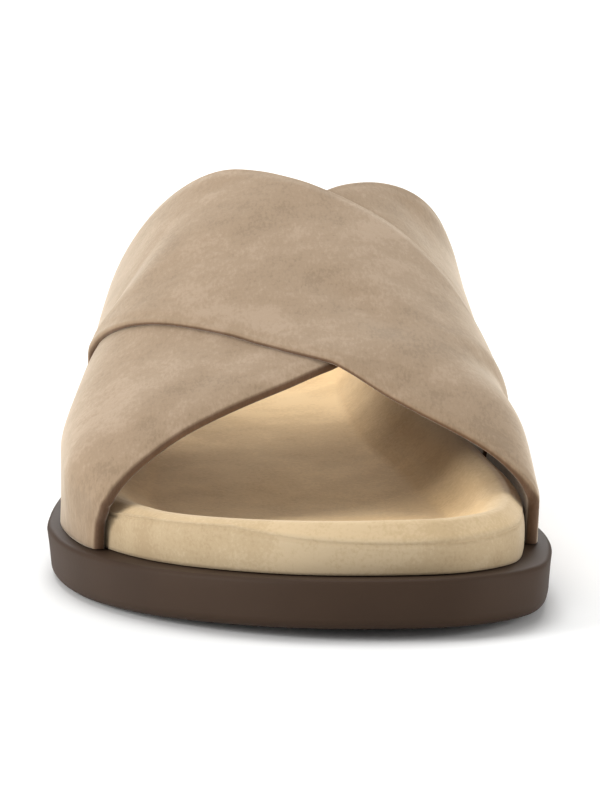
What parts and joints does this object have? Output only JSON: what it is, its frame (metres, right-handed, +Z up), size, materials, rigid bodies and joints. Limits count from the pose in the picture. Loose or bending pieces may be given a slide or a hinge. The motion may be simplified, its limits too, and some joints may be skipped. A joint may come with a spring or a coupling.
{
  "type": "cross strap sandal",
  "caption": "Slip-on sandal for the right foot with broad straps crossing over the instep, a contoured suede footbed and a flat outsole with herringbone tread.",
  "frame": {"origin": "on the floor under the middle of the shoe's box", "axes": "+Z up, -Y towards the toe, +Y towards the heel, +X towards the inner side of the right foot"},
  "size_m": [0.1156, 0.29, 0.0826],
  "materials": {
    "outsole_rubber": "moulded, matt, dark brown",
    "footbed_suede": "suede with a short nap, sand",
    "strap_suede": "padded suede with a short nap, warm taupe"
  },
  "bodies": {
    "root": {"outsole": "outsole_rubber", "footbed": "footbed_suede", "upper": "strap_suede"}
  },
  "joints": []
}
